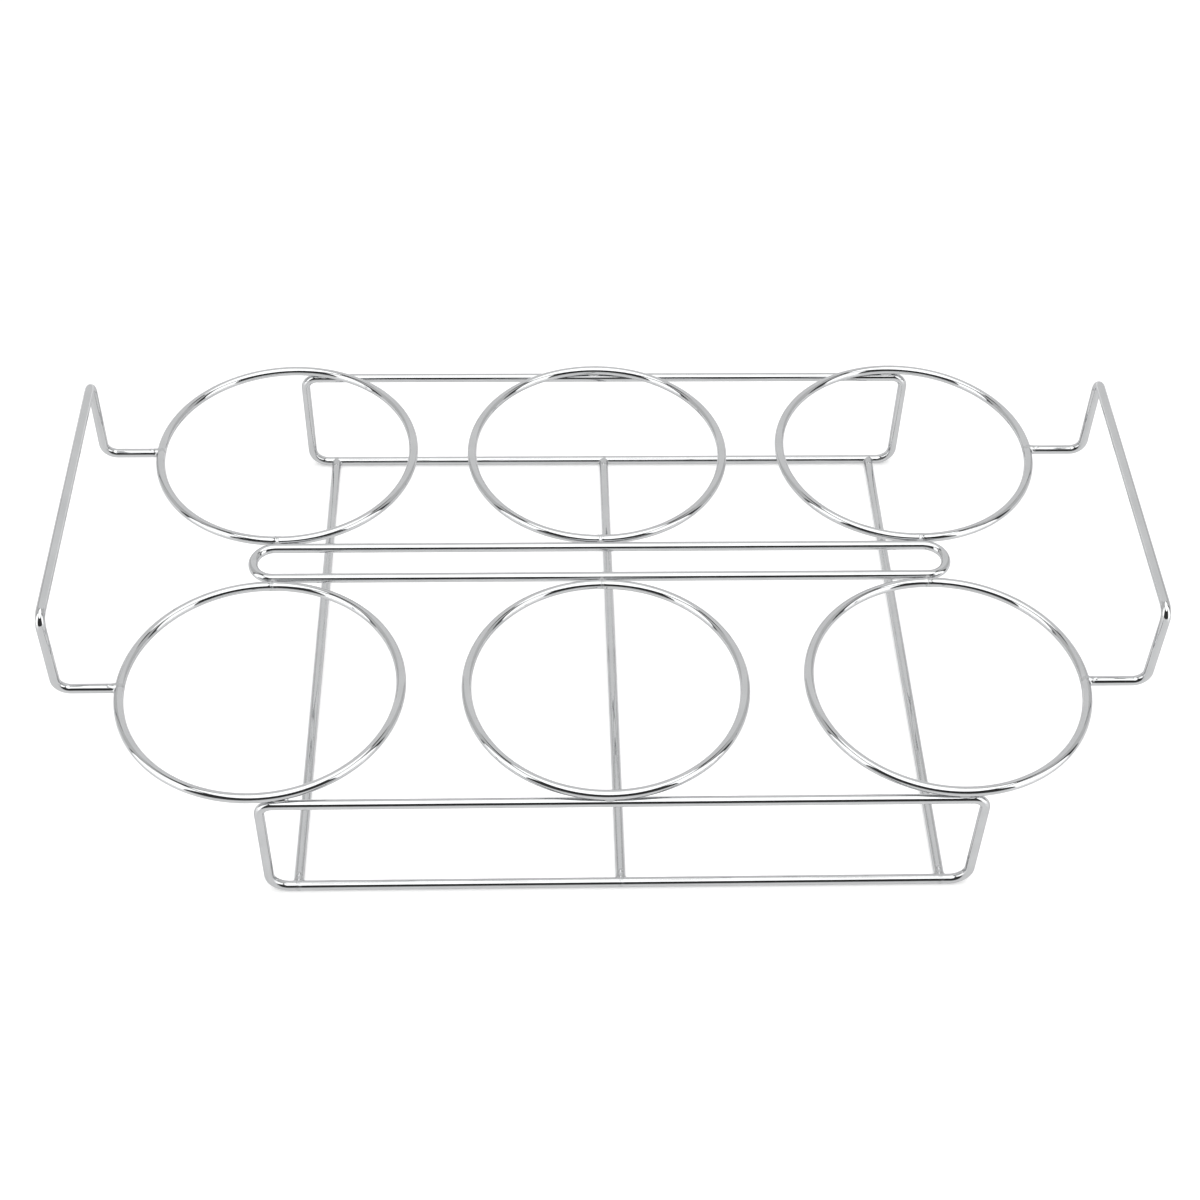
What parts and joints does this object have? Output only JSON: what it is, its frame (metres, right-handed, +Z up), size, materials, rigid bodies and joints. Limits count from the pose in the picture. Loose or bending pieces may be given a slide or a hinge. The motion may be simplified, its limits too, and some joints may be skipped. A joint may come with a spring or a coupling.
{
  "type": "wire ring rack",
  "caption": "Low chrome wire rack: rows of open rings for round cups on either side of a long loop, standing on rectangular foot frames, with a raised wire handle at each end.",
  "frame": {"origin": "on the floor under the middle of the ring tray", "axes": "+X along the rows of rings towards the right handle, +Y from the front row to the back row, +Z up"},
  "size_m": [0.3552, 0.2048, 0.0815],
  "materials": {
    "ring_wire": "bright chrome plate on drawn steel wire",
    "loop_wire": "bright chrome plate on drawn steel wire",
    "foot_wire": "bright chrome plate on drawn steel wire",
    "rod_wire": "bright chrome plate on drawn steel wire",
    "handle_wire": "bright chrome plate on drawn steel wire",
    "weld_bead": "chrome plate over a small rounded spot weld"
  },
  "bodies": {
    "root": {"ring_front_left": "ring_wire", "ring_front_middle": "ring_wire", "ring_front_right": "ring_wire", "ring_back_left": "ring_wire", "ring_back_middle": "ring_wire", "ring_back_right": "ring_wire", "centre_loop": "loop_wire", "foot_frame_front": "foot_wire", "foot_frame_back": "foot_wire", "base_rod_left": "rod_wire", "base_rod_middle": "rod_wire", "base_rod_right": "rod_wire", "handle_left": "handle_wire", "handle_right": "handle_wire"}
  },
  "joints": []
}
